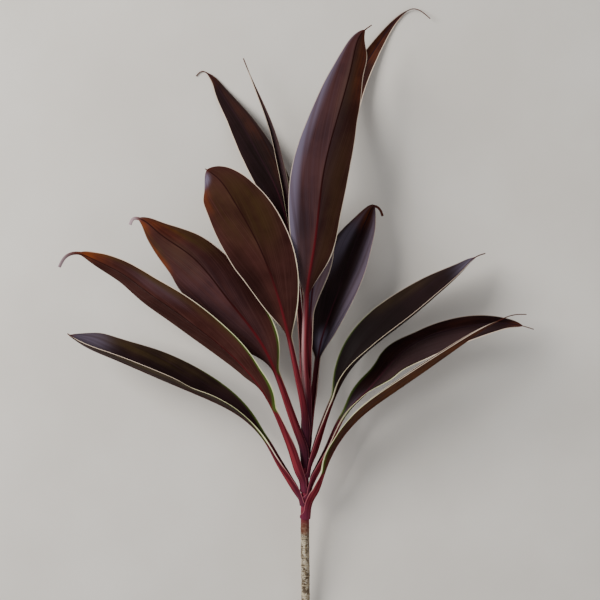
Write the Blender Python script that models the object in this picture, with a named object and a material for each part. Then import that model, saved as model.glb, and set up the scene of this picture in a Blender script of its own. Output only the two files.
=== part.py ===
"""A leafy shoot of a ti plant, cut through its cane and lying on its back.

X runs across the shoot, Y along the cane towards the leaves and Z up.  The shoot lies on the
cut end of the cane and on the undersides of its two longest hind leaves, so the crown stands
clear of the surface.  Twelve leaves clasp the upper cane, one above the other: each is one
piece, from the sheath round the cane through a channelled stalk to the blade.

All lengths below are in millimetres and all angles in degrees, in the shoot's own frame, whose
origin lies under the lowest sheath.  MM turns them into metres.
"""

import math

import bmesh
import bpy
import numpy as np

MM = 0.001

# The cane: its centre line from the cut end to the growing tip inside the crown.
CANE_LINE = ((1.4, -158, 5.25), (1.0, -111, 13.1), (0.4, -60, 21), (0, -5, 31),
             (0.6, 53, 41), (2.0, 108, 51), (3.6, 157, 60))
CANE_CUT, CANE_TIP = -158.0, 131.0
CANE_RADIUS, TIP_RADIUS = 5.2, 2.0
CANE_SIDES = 16
CUT_CHAMFER = 0.8
UNEVEN = 0.03
# The leaf scars below the crown: the first and the last, their spacing, their height, and how
# far each spreads below and above its ridge.
FIRST_SCAR, LAST_SCAR, SCAR_SPACING = -151.8, -16.0, 12.0
SCAR_HEIGHT = 0.45
SCAR_BELOW, SCAR_ABOVE = 1.2, 1.4
CORE_RINGS = 9

# The nest of sheaths: the free gap between two of them, the thickness of one, and the half
# angle that a sheath still goes round where it opens into the stalk.
SHEATH_GAP = 0.8
SHEATH_WALL = 0.8
SHEATH_PITCH = SHEATH_GAP + SHEATH_WALL
SHEATH_OPEN = 70
# A leaf keeps the curve of the nest until it is this far clear of it, and takes this length
# past its sheath to narrow to the stalk.
CLEAR_OF_NEST = 5.0
STALK_RUN = 32.0

# Blades: edge thickness, the midrib's extra height below and how far it spreads.
BLADE_WALL = 0.7
RIB_HEIGHT = 1.5
RIB_SPREAD = 3.0
RIB_RUN = 30.0
TIP_HALF_WIDTH = 0.6
# The stalk's strip curls by these half angles, low and high.  The curl opens over the first
# share of the blade, and the strip runs on as the blade's edge over the second.
STALK_CURL = (100, 80)
BLADE_OPENS, STALK_FADES = 0.16, 0.3

# The mesh of one leaf: strips along the sheath, the stalk and the blade, and columns across.
SHEATH_STRIPS, STALK_STRIPS, BLADE_STRIPS = 3, 6, 13
COLUMNS = 8

# The leaves from the lowest sheath up.
#   node, bearing: where the sheath starts on the cane and which way the leaf stands out of it
#                  (0 right, 90 up towards the viewer, 180 left)
#   wrap, sheath:  half angle that the sheath goes round at its foot, and its length
#   line:          the midrib's line after the sheath, blade_from the number of its point
#                  where the blade starts
#   stalk:         half width of the stalk's strip, low and high
#   half_width:    of the blade; swell: how it fills out near the base and near the tip
#   tail:          the share of the blade that is a hair-thin tip
#   roll:          (share of the blade, angle): 0 shows the upper face to the viewer,
#                  180 the underside and 90 or -90 the edge
#   fold:          (share of the blade, angle) that each half rises from flat
#   waves:         (side, share of the blade, reach, share of the half width) that the margin
#                  runs out by; side 1 is the right half as seen from the upper face, tip up
LEAVES = (
    dict(name="leaf_01_right_lowest", node=-8, bearing=30, wrap=145, sheath=12, stalk=(7.5, 5.4),
         blade_from=2,
         line=((8.8, 14.5, 38.3), (14, 26, 44), (22.3, 51.5, 53.5), (34.8, 81, 62.5), (67, 122, 76),
               (102.5, 149.5, 86), (147, 181, 95), (189, 211, 98), (229, 236, 95), (246, 242, 92),
               (261, 242.5, 90)),
         half_width=25, swell=(0.7, 0.8), tail=0.11,
         roll=((0, -97), (0.25, -94), (1, -92)), fold=((0, 21), (1, 21)),
         waves=(), colour="russet"),
    dict(name="leaf_02_left_lowest", node=9, bearing=175, wrap=120, sheath=6, stalk=(8.5, 5.4),
         blade_from=3,
         line=((-9.4, 20, 36), (-17, 34, 40), (-31, 58.5, 46), (-47.5, 90, 54), (-76, 119.5, 60),
               (-126, 146, 67), (-180, 169, 70), (-231, 190.5, 68), (-266, 206, 63), (-285, 219, 59)),
         half_width=35, swell=(1.0, 0.75), tail=0.01,
         roll=((0, 70), (0.3, 71), (1, 68)), fold=((0, 37), (1, 37)),
         waves=((1, 0.93, 0.1, 0.35), (1, 0.3, 0.25, 0.06), (1, 0.72, 0.1, -0.04),
                (-1, 0.4, 0.06, -0.35), (-1, 0.2, 0.08, 0.12)), colour="plum"),
    dict(name="leaf_03_right_lower", node=18, bearing=2, wrap=115, sheath=7, stalk=(7.6, 5.0),
         blade_from=2,
         line=((11.2, 40, 39.5), (27.4, 73.5, 41), (45.6, 116, 43), (58, 132, 43), (73, 146.5, 42),
               (88.5, 163.5, 41), (115, 193, 42), (140, 210.5, 44), (175, 222.5, 46), (235, 230.5, 47),
               (257, 229, 46), (277, 223.5, 45)),
         half_width=26, swell=(0.95, 0.9), tail=0.05,
         roll=((0, -60), (0.12, -50), (0.3, -10), (0.5, 18), (0.8, 5), (1, 0)), fold=((0, 46), (1, 46)),
         waves=((-1, 0.1, 0.07, 0.22), (-1, 0.25, 0.07, -0.16), (-1, 0.55, 0.12, 0.05),
                (1, 0.9, 0.1, -0.15)),
         colour="plum"),
    dict(name="leaf_04_left_lower", node=26, bearing=145, wrap=120, sheath=8, stalk=(9.5, 5.0),
         blade_from=3,
         line=((-8.7, 47.5, 51), (-16.8, 74, 56), (-26.2, 101, 61), (-37.5, 128.5, 66),
               (-81.8, 189.5, 75), (-128, 228, 82), (-159, 251, 86), (-185, 269, 88), (-212, 289, 89),
               (-252, 309, 89), (-270, 314.5, 87), (-282, 311, 85), (-291, 298, 83)),
         half_width=34, swell=(0.78, 0.9), tail=0.09,
         roll=((0, 120), (0.3, 124), (0.7, 127), (1, 150)), fold=((0, 6), (1, 6)),
         waves=((1, 0.68, 0.12, 0.07), (1, 0.14, 0.08, -0.08), (-1, 0.86, 0.12, 0.14),
                (-1, 0.45, 0.12, 0.04)), colour="russet"),
    dict(name="leaf_05_right_middle", node=44, bearing=0, wrap=110, sheath=9, stalk=(8.3, 5.0),
         blade_from=2,
         line=((11.5, 70, 45), (20.6, 100, 48), (34, 140, 49.8), (50.5, 171.5, 50), (84.7, 206.7, 50),
               (125.5, 238, 49), (160.5, 267.5, 46), (193, 298, 42), (208, 312, 40), (219, 316, 40)),
         half_width=36, swell=(0.9, 0.95), tail=0.05,
         roll=((0, -75), (0.3, -60), (1, -60)), fold=((0, 36), (1, 36)),
         waves=((1, 0.72, 0.08, 0.12), (1, 0.55, 0.06, -0.06), (-1, 0.4, 0.25, 0.04)), colour="plum"),
    dict(name="leaf_06_left_middle", node=56, bearing=120, wrap=110, sheath=9, stalk=(7.8, 5.0),
         blade_from=3,
         line=((-3, 77, 54.3), (-10.6, 101, 60.3), (-22.5, 137, 69), (-34.5, 172.5, 76),
               (-47.8, 201.3, 81), (-91.6, 260.2, 89), (-135.6, 311.6, 91), (-176.5, 341, 88),
               (-195, 354.5, 85), (-203, 355, 84), (-207, 348, 83)),
         half_width=39, swell=(0.85, 0.9), tail=0.05,
         roll=((0, 160), (0.3, 190), (1, 196)), fold=((0, 22), (1, 22)),
         waves=((1, 0.85, 0.07, -0.07), (1, 0.6, 0.08, 0.05), (-1, 0.6, 0.08, -0.04),
                (-1, 0.88, 0.08, 0.08)), colour="russet"),
    dict(name="leaf_07_right_upper", node=68, bearing=-55, wrap=75, sheath=9, stalk=(6.0, 4.6),
         blade_from=3,
         line=((6.8, 101, 37), (9.2, 127, 37.5), (11.8, 148, 37), (15.8, 187, 35.5), (18, 201, 35),
               (32, 246, 32), (45.5, 283, 30), (64, 331, 26), (78, 363, 23), (87, 374, 21),
               (91.5, 371, 20), (95.5, 362, 19.5)),
         half_width=34, swell=(0.8, 0.8), tail=0.07,
         roll=((0, -16), (0.4, -16), (1, -10)), fold=((0, 34), (0.5, 34), (1, 44)),
         waves=((1, 0.25, 0.2, -0.09), (1, 0.82, 0.1, 0.1), (-1, 0.82, 0.1, -0.08)), colour="plum"),
    dict(name="leaf_08_left_broad", node=80, bearing=110, wrap=95, sheath=9, stalk=(6.4, 3.6),
         blade_from=3,
         line=((-1.8, 125, 67.5), (-8.5, 163, 78), (-13, 186, 84), (-18.3, 212, 90), (-30.3, 259, 101),
               (-53.5, 321, 109), (-84, 376, 110), (-101, 400, 106), (-117, 412.5, 101)),
         half_width=40, swell=(0.92, 0.62), tail=0.01,
         roll=((0, 160), (0.25, 172), (0.6, 184), (1, 190)), fold=((0, 14), (1, 14)),
         waves=((1, 0.9, 0.08, 0.16), (1, 0.45, 0.06, 0.02)), colour="russet"),
    dict(name="leaf_09_front_tall", node=92, bearing=75, wrap=80, sheath=9, stalk=(6.0, 4.3),
         blade_from=3,
         line=((2.5, 144, 67.5), (0, 188, 77), (0.5, 235, 86.5), (1.8, 265, 90), (10.5, 322, 96),
               (21.5, 410, 103), (40.5, 483, 97), (56.5, 545, 86), (69, 578, 78), (79, 586, 75)),
         half_width=39, swell=(0.75, 0.86), tail=0.03,
         roll=((0, 188), (0.3, 197), (0.6, 199), (1, 201)), fold=((0, 14), (0.5, 22), (0.9, 27)),
         waves=((-1, 0.65, 0.05, -0.05), (-1, 0.28, 0.1, -0.06), (1, 0.76, 0.1, 0.04),
                (-1, 0.92, 0.07, 0.9), (1, 0.66, 0.25, -0.09)),
         colour="russet"),
    dict(name="leaf_10_back_left", node=104, bearing=-175, wrap=62, sheath=9, stalk=(5.0, 4.0),
         blade_from=3,
         line=((-4.6, 149, 53.5), (-4.2, 193, 55), (-6.5, 235, 54), (-13, 305, 46), (-23, 359, 38),
               (-38, 402, 31), (-57, 438, 24), (-84.5, 486, 11), (-105, 518, 3.3), (-120.5, 540, 1.4),
               (-127, 543, 1.4), (-135, 537, 1.4)),
         half_width=21, swell=(0.85, 0.98), tail=0.05,
         roll=((0, 0), (0.3, 3), (1, 3)), fold=((0, 12), (0.3, 4), (1, 4)),
         waves=((-1, 0.75, 0.12, -0.1), (-1, 0.35, 0.12, 0.06), (1, 0.7, 0.15, -0.08)), colour="plum"),
    dict(name="leaf_11_back_right", node=116, bearing=-75, wrap=75, sheath=9, stalk=(5.0, 4.0),
         blade_from=2,
         line=((4.6, 149, 45), (5, 193, 49), (6.5, 240, 55.5), (12, 300, 60), (24, 381, 48),
               (37, 442, 31), (49, 489, 16), (63, 528, 6), (83, 564, 2), (99, 588.5, 1), (117, 610, 2),
               (134, 620, 4), (155, 607, 8)),
         half_width=23, swell=(0.8, 1.2), tail=0.06,
         roll=((0, 0), (1, 0)), fold=((0, 30), (1, 30)),
         waves=((1, 0.13, 0.07, 0.4), (1, 0.7, 0.06, 0.04)), colour="plum"),
    dict(name="leaf_12_young_narrow", node=125, bearing=170, wrap=75, sheath=7, stalk=(4.0, 3.0),
         blade_from=3,
         line=((0.5, 154, 61), (0.5, 205, 67), (-1.5, 259, 70), (-8, 304, 70), (-18, 349, 65),
               (-23.5, 385, 60), (-31, 422, 53), (-41, 464, 45), (-49, 488, 40), (-63, 524, 33),
               (-75, 555, 26)),
         half_width=6.5, swell=(0.8, 1.3), tail=0.03,
         roll=((0, 60), (0.3, 35), (1, 50)), fold=((0, 40), (1, 40)),
         waves=(), colour="plum"),
)

COLOURS = {
    "bark": ((0.30, 0.26, 0.20, 1), 0.75),
    "russet": ((0.10, 0.045, 0.035, 1), 0.5),
    "plum": ((0.045, 0.022, 0.035, 1), 0.35),
}


def ease(x, start, end):
    """Rise smoothly from 0 at start to 1 at end."""
    t = np.clip((x - start) / (end - start), 0, 1)
    return t * t * (3 - 2 * t)


def steps_between(x, stations):
    """Values set at stations along x, with a smooth rise from each to the next."""
    value = np.full(np.shape(x), float(stations[0][1]))
    for (a, low), (b, high) in zip(stations, stations[1:]):
        value = value + (high - low) * ease(x, a, b)
    return value


def smooth_line(points, count=500):
    """A natural cubic curve through the points, with the length along it."""
    p = np.array(points, dtype=float)
    t = np.concatenate([[0], np.cumsum(np.linalg.norm(np.diff(p, axis=0), axis=1))])
    h = np.diff(t)
    n = len(p)
    system, right = np.eye(n), np.zeros((n, 3))
    for i in range(1, n - 1):
        system[i, i - 1:i + 2] = h[i - 1], 2 * (h[i - 1] + h[i]), h[i]
        right[i] = 6 * ((p[i + 1] - p[i]) / h[i] - (p[i] - p[i - 1]) / h[i - 1])
    bend = np.linalg.solve(system, right)
    x = np.linspace(0, t[-1], count)
    i = np.clip(np.searchsorted(t, x) - 1, 0, n - 2)
    after, before, span = (x - t[i])[:, None], (t[i + 1] - x)[:, None], h[i][:, None]
    q = (bend[i] * before ** 3 + bend[i + 1] * after ** 3) / (6 * span)
    q += (p[i] / span - bend[i] * span / 6) * before + (p[i + 1] / span - bend[i + 1] * span / 6) * after
    length = np.concatenate([[0], np.cumsum(np.linalg.norm(np.diff(q, axis=0), axis=1))])
    return q, length


def point_at(value, table, points):
    return np.stack([np.interp(value, table, points[:, k]) for k in range(3)], axis=-1)


CANE_CURVE, _ = smooth_line(CANE_LINE)
NODES = [leaf["node"] for leaf in LEAVES]


def cane_at(y):
    return point_at(y, CANE_CURVE[:, 1], CANE_CURVE)


def core_radius(y):
    """The bare cane's radius: even below the crown, tapering to the growing tip inside it."""
    return CANE_RADIUS + (TIP_RADIUS - CANE_RADIUS) * np.clip(y / CANE_TIP, 0, 1)


def nest_radius(order, y):
    """The inner radius of one sheath: the core, and the sheaths of the younger leaves in it."""
    younger = np.interp(y, NODES + [NODES[-1] + 12], range(len(NODES) + 1)) - order
    return core_radius(y) + SHEATH_GAP + SHEATH_PITCH * np.maximum(younger, 0)


def unit(v):
    return v / np.linalg.norm(v, axis=-1, keepdims=True)


def margin_waves(leaf, along, across):
    """How far the margin runs out or in on each side, as a share of the even half width."""
    share = np.ones_like(across)
    for side, middle, reach, height in leaf["waves"]:
        share += height * np.exp(-((along[:, None] - middle) / reach) ** 2) * (across * side > 0)
    return share


def leaf_faces(order, leaf):
    """Points of the upper face and of the underside, as rows along the leaf by columns across."""
    bearing = math.radians(leaf["bearing"])
    outward = np.array([math.cos(bearing), 0, math.sin(bearing)])
    low = leaf["node"] + np.array([0, 0.5, 1.0]) * leaf["sheath"]
    seat = cane_at(low) + nest_radius(order, low)[:, None] * outward
    points = np.vstack([seat, leaf["line"]])
    curve, length = smooth_line(points)
    total, sheath_end = length[-1], leaf["sheath"]
    start = length[np.argmin(np.linalg.norm(curve - points[3 + leaf["blade_from"]], axis=1))]
    s = np.concatenate([
        np.linspace(0, sheath_end, SHEATH_STRIPS + 1)[:-1],
        np.linspace(sheath_end, start, STALK_STRIPS + 1)[:-1],
        start + (total - start) * (0.5 - 0.5 * np.cos(np.linspace(0, math.pi, BLADE_STRIPS + 1)))])
    along = np.clip((s - start) / (total - start), 0, 1)
    centre = point_at(s, length, curve)
    behind, beyond = np.maximum(s - 0.5, 0), np.minimum(s + 0.5, total)
    ahead = unit(point_at(beyond, length, curve) - point_at(behind, length, curve))

    # the upper face's direction: towards the cane in the sheath, then turned by the roll
    turn = math.degrees(math.atan2(-math.cos(bearing), -math.sin(bearing)))
    turn += 360 * round((leaf["roll"][0][1] - turn) / 360)
    stations = [(sheath_end, turn)] + [(start + a * (total - start), angle) for a, angle in leaf["roll"]]
    roll = np.radians(steps_between(s, stations))[:, None]
    up = unit(np.array([0, 0, 1]) - ahead * ahead[:, 2:])
    face = np.cos(roll) * up + np.sin(roll) * np.cross(ahead, up)
    side = np.cross(ahead, face)

    # sheath and stalk: a strip curled round the nest, which closes to a channel as it leaves it
    nest = nest_radius(order, centre[:, 1])
    clear = np.linalg.norm((centre - cane_at(centre[:, 1]))[:, [0, 2]], axis=1) - nest
    loose = ease(clear, 0, CLEAR_OF_NEST)
    narrowing = ease(s, sheath_end * 0.9, sheath_end + STALK_RUN)
    stalk = steps_between(s, [(sheath_end + STALK_RUN, leaf["stalk"][0]), (start, leaf["stalk"][1])])
    stalk_curl = [(sheath_end + STALK_RUN, STALK_CURL[0]), (start, STALK_CURL[1])]
    stalk_curl = np.radians(steps_between(s, stalk_curl))
    wrap = np.radians(steps_between(s, [(0, leaf["wrap"]), (sheath_end, min(leaf["wrap"], SHEATH_OPEN))]))
    strip = nest * wrap * (1 - narrowing) + stalk * narrowing
    curl = strip / (nest * (1 - loose) + stalk / stalk_curl * loose)

    # blade: half width along the leaf, its fold along the midrib
    a, b = leaf["swell"]
    peak = a / (a + b)
    t = np.minimum(along / (1 - leaf["tail"]), 1)
    spread = leaf["half_width"] * (t / peak) ** a * ((1 - t) / (1 - peak)) ** b
    strip = ((strip * (1 - ease(along, 0, STALK_FADES))) ** 2.5 + spread ** 2.5) ** 0.4
    strip = np.maximum(strip, TIP_HALF_WIDTH * (2 - along))
    opened = ease(along, 0, BLADE_OPENS)
    fold = np.radians(steps_between(along, leaf["fold"])) * opened
    curl = curl * (1 - opened) + 1e-4

    # across the leaf: even columns round the sheath, crowded to the midrib in the blade
    x = np.linspace(-1, 1, COLUMNS + 1)
    power = 1 + 0.6 * ease(along, 0, 0.1)
    across = np.sign(x) * np.abs(x) ** power[:, None]
    reach, bend, rise = np.abs(across), curl[:, None], fold[:, None]
    half = strip[:, None] * margin_waves(leaf, along, across)
    lateral = half * (np.sin(rise + bend * reach) - np.sin(rise)) / bend
    height = half * (np.cos(rise) - np.cos(rise + bend * reach)) / bend
    upper = centre[:, None] + side[:, None] * (lateral * np.sign(x))[..., None]
    upper = upper + face[:, None] * height[..., None]

    normal = unit(np.cross(np.gradient(upper, axis=1), np.gradient(upper, axis=0)))
    normal *= np.sign(np.sum(normal[:, COLUMNS // 2] * face))
    rib = RIB_HEIGHT * ease(s, sheath_end, sheath_end + RIB_RUN) * (1 - 0.7 * along) ** 0.8
    wall = SHEATH_WALL + (BLADE_WALL - SHEATH_WALL) * opened
    depth = wall[:, None] + rib[:, None] * np.exp(-(half * reach / RIB_SPREAD) ** 2)
    return upper, upper - normal * depth[..., None]


def leaf_mesh(order, leaf):
    """A closed leaf: one grid for the upper face, extruded to the underside."""
    upper, under = leaf_faces(order, leaf)
    rows = upper.shape[0] - 1
    bm = bmesh.new()
    row_of = bm.verts.layers.int.new("row")
    column_of = bm.verts.layers.int.new("column")
    bmesh.ops.create_grid(bm, x_segments=COLUMNS, y_segments=rows, size=1)
    for vert in bm.verts:
        vert[row_of] = round((vert.co.y + 1) / 2 * rows)
        vert[column_of] = round((vert.co.x + 1) / 2 * COLUMNS)
        vert.co = upper[vert[row_of], vert[column_of]] * MM
    bmesh.ops.triangulate(bm, faces=bm.faces[:])
    grown = bmesh.ops.extrude_face_region(bm, geom=bm.faces[:], use_keep_orig=True)["geom"]
    for vert in grown:
        if isinstance(vert, bmesh.types.BMVert):
            vert.co = under[vert[row_of], vert[column_of]] * MM
    bmesh.ops.triangulate(bm, faces=bm.faces[:])
    bmesh.ops.recalc_face_normals(bm, faces=bm.faces[:])
    mesh = bpy.data.meshes.new(leaf["name"])
    bm.to_mesh(mesh)
    bm.free()
    return mesh


def cane_mesh():
    """The cane: a ring drawn along the centre line, with a low ridge at every leaf scar."""
    scars = np.arange(FIRST_SCAR, LAST_SCAR, SCAR_SPACING)
    heights = [CANE_CUT, CANE_CUT + CUT_CHAMFER]
    for scar in scars:
        heights += [scar - SCAR_BELOW, scar, scar + SCAR_ABOVE]
    heights += list(np.linspace(0, CANE_TIP, CORE_RINGS))
    bm = bmesh.new()
    ring = bmesh.ops.create_circle(bm, cap_ends=True, segments=CANE_SIDES, radius=1)["verts"]
    edges = [edge for edge in bm.edges]
    rings = [ring]
    for _ in heights[1:]:
        grown = bmesh.ops.extrude_edge_only(bm, edges=edges)["geom"]
        rings.append([v for v in grown if isinstance(v, bmesh.types.BMVert)])
        edges = [e for e in grown if isinstance(e, bmesh.types.BMEdge)]
    bmesh.ops.contextual_create(bm, geom=edges)
    for height, ring in zip(heights, rings):
        centre = cane_at(height)
        radius = float(core_radius(height))
        radius += SCAR_HEIGHT * float(np.any(np.isclose(height, scars)))
        if height == CANE_CUT:
            radius -= CUT_CHAMFER
        for vert in ring:
            angle = math.atan2(vert.co.y, vert.co.x)
            uneven = 1 + UNEVEN * math.sin(2 * angle + height / 20)
            vert.co = (centre + radius * uneven * np.array([math.cos(angle), 0, math.sin(angle)])) * MM
    bmesh.ops.triangulate(bm, faces=bm.faces[:])
    bmesh.ops.recalc_face_normals(bm, faces=bm.faces[:])
    mesh = bpy.data.meshes.new("cane")
    bm.to_mesh(mesh)
    bm.free()
    return mesh


def finish(name, colour):
    base, roughness = COLOURS[colour]
    material = bpy.data.materials.new(name + "_" + colour)
    material.use_nodes = True
    shader = material.node_tree.nodes["Principled BSDF"]
    shader.inputs["Base Color"].default_value = base
    shader.inputs["Roughness"].default_value = roughness
    shader.inputs["Metallic"].default_value = 0.0
    return material


def add(name, mesh, colour, parent):
    mesh.materials.append(finish(name, colour))
    mesh.shade_smooth()
    mesh.set_sharp_from_angle(angle=math.radians(40))
    piece = bpy.data.objects.new(name, mesh)
    piece.parent = parent
    bpy.context.collection.objects.link(piece)
    return piece


def main():
    for old in list(bpy.data.objects):
        bpy.data.objects.remove(old, do_unlink=True)
    shoot = bpy.data.objects.new("shoot", None)
    bpy.context.collection.objects.link(shoot)
    pieces = [add("cane", cane_mesh(), "bark", shoot)]
    for order, leaf in enumerate(LEAVES):
        pieces.append(add(leaf["name"], leaf_mesh(order, leaf), leaf["colour"], shoot))

    # set the shoot down: its lowest point on the surface, its middle over the origin
    reach = np.array([vert.co for piece in pieces for vert in piece.data.vertices])
    low, high = reach.min(axis=0), reach.max(axis=0)
    shoot.location = (-(low[0] + high[0]) / 2, -(low[1] + high[1]) / 2, -low[2])


main()
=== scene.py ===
"""The looks of a cut, leafy shoot of a ti plant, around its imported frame.

The shoot lies on its back on a pale floor and is looked down on, so that it shows as it would
standing up.  Each leaf of the frame is replaced by a finer one on the same midrib line: thin
at its margin, with a keeled midrib, a channelled stalk and a hair-thin tip.  The cane is
replaced by one with its bark, scars and cut end.

Lengths are in millimetres and angles in degrees, in the shoot's own frame: X runs across it,
Y along the cane towards the leaves and Z up, with the origin under the lowest sheath.
"""

import math

import bmesh
import bpy
import numpy as np
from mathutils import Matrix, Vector, noise


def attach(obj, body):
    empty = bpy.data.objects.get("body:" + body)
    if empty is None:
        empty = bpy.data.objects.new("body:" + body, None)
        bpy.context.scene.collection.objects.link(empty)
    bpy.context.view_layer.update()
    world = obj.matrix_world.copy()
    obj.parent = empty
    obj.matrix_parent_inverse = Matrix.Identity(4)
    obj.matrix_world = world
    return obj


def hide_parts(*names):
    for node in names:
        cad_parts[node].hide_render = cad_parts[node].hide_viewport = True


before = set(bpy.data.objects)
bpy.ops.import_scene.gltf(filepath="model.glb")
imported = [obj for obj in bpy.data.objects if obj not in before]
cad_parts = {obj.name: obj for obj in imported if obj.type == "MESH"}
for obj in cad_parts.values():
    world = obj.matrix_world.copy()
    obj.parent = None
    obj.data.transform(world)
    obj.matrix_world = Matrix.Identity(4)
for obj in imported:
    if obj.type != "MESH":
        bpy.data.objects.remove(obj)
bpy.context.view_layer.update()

MM = 0.001
# Where the shoot's own origin comes to lie in the frame.
SET_DOWN = np.array([7.07, -231.6, -0.01])

# The cane's centre line from the cut end to the growing tip inside the crown, and its radii.
CANE_LINE = ((1.4, -158, 5.25), (1.0, -111, 13.1), (0.4, -60, 21), (0, -5, 31),
             (0.6, 53, 41), (2.0, 108, 51), (3.6, 157, 60))
CANE_CUT, CANE_TIP = -158.0, 131.0
CANE_RADIUS, TIP_RADIUS = 5.2, 2.0
CUT_CHAMFER = 0.5
# Ring scars where leaves have dropped: how far apart they are, their height and width, how far
# out of square they lie, and where the first and the last one are.
SCAR_SPACING, SCAR_HEIGHT, SCAR_WIDTH, SCAR_TILT = 12.0, 0.35, 0.7, 0.5
FIRST_SCAR, LAST_SCAR = -151.8, -16.0
# Furrows and knobbles of the bark: their depth, how they crowd round it and their length, and
# how far apart the two patterns are taken.
FURROW_DEPTH, FURROW_CROWDING, FURROW_LENGTH = 0.14, 3, 9
KNOBBLE_DEPTH, KNOBBLE_CROWDING, KNOBBLE_LENGTH = 0.3, 1.2, 22
PATTERNS_APART = 5

# The nest of sheaths round the cane: the gap inside each one and its wall, the half angle that
# it goes round at its top, and how far out of the nest a stalk curls freely.
SHEATH_GAP, SHEATH_WALL = 0.8, 0.8
SHEATH_OPEN = 70
CLEAR_OF_NEST = 5.0
# Points of the midrib's line that lie in the sheath.
SEAT_POINTS = 3
# The stalk: the share of the sheath at which the leaf starts to narrow, the run in which it
# becomes a stalk, and the angle that its channel curls by, low and high.
NARROWS_FROM, STALK_RUN = 0.9, 32.0
STALK_CURL = (100, 80)
# How far before and behind each row the midrib's direction is taken.
LOOK_AHEAD = 0.5

# Blades: the thickness in the middle and at the margin, and the share of the half width at
# which they start to thin.
BLADE_WALL, MARGIN_WALL, THINS_FROM = 0.62, 0.34, 0.6
# The keel under the midrib: its height and spread, the run in which it rises out of the sheath,
# how far it sinks towards the tip and by which power; and the rounded valley above it.
RIB_HEIGHT, RIB_SPREAD, RIB_RUN = 1.6, 2.2, 30.0
RIB_SINKS, RIB_SINK_POWER = 0.8, 0.8
VALLEY = 1.6
TIP_HALF_WIDTH = 0.5
# The shares of the blade in which the stalk's channel opens out and the stalk's width fades,
# and the power by which the stalk's and the blade's widths blend.
BLADE_OPENS, STALK_FADES, WIDTH_BLEND = 0.16, 0.3, 2.5
# Veins: the half width that they are laid out on, their spacing and that of the pleats, their
# slant, stretch and height, and how far apart the patterns of a leaf's halves are taken.
VEIN_SPAN, VEIN_SPACING, PLEAT_SPACING = 35.0, 0.9, 4.5
VEIN_SLANT, VEIN_STRETCH, VEIN_HEIGHT = 0.12, 0.012, 0.18
HALVES_APART = 40.0
# Marks for the colours: the tints, how sharply a patch ends, the shares of the blade between
# which the green goes, and the shares before or after the foot of the hair-thin tip at which the
# leaf starts to dry, is dry, and starts to lose its pale line.
# Of the tints, the first two are partly the leaf's own rust and olive and partly painted light shining
# through it, the third is a painted sheen, the fourth a painted highlight that near the dry tip is the
# tip's own pale colour, and the last is painted shade.
TINTS = ("rust", "olive", "bloom", "blush", "shade")
PATCH_EDGE = 1.7
GREEN_FROM, GREEN_TO = 0.12, 0.6
DRIES_BEFORE, DRY_AFTER, RIM_FADES = 0.03, 0.01, 0.08

# The mesh of the cane: sides round it, and the step between its rings.
CANE_SIDES, CANE_RING_STEP = 56, 0.7
# The mesh of one leaf: rows along the sheath, the stalk and the blade, columns on each side, and
# how they crowd towards the midrib.
SHEATH_ROWS, STALK_ROWS, BLADE_ROWS = 5, 26, 96
SIDE_COLUMNS, COLUMN_CROWDING = 15, 1.3
# Angles above which an edge stays sharp.
LEAF_CREASE, CANE_CREASE = 60, 50

# The floor, in metres: how far it reaches, and how far it lies under the shoot.
FLOOR_REACH, FLOOR_DROP = 12, 0.0003
# The lights, in metres and watts, and the point that they are turned to.
LIGHTS = (
    dict(name="window_light", spot=(-1.7, 0.8, 1.5), size=1.3, power=66, colour=(1.0, 0.98, 0.95)),
    dict(name="fill_light", spot=(1.7, -0.9, 1.6), size=1.8, power=8, colour=(1.0, 0.96, 0.92)),
)
LIT_POINT = Vector((0, 0, 0.05))
SKY_COLOUR, SKY_STRENGTH = (0.95, 0.97, 1.0, 1), 0.4
# The camera looks straight down from its spot in the shoot's frame. Its lens and sensor are in
# millimetres, its reach in metres.
CAMERA_SPOT = (-6, 259, 1760)
LENS, SENSOR, CAMERA_REACH = 85, 36, 30
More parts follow.
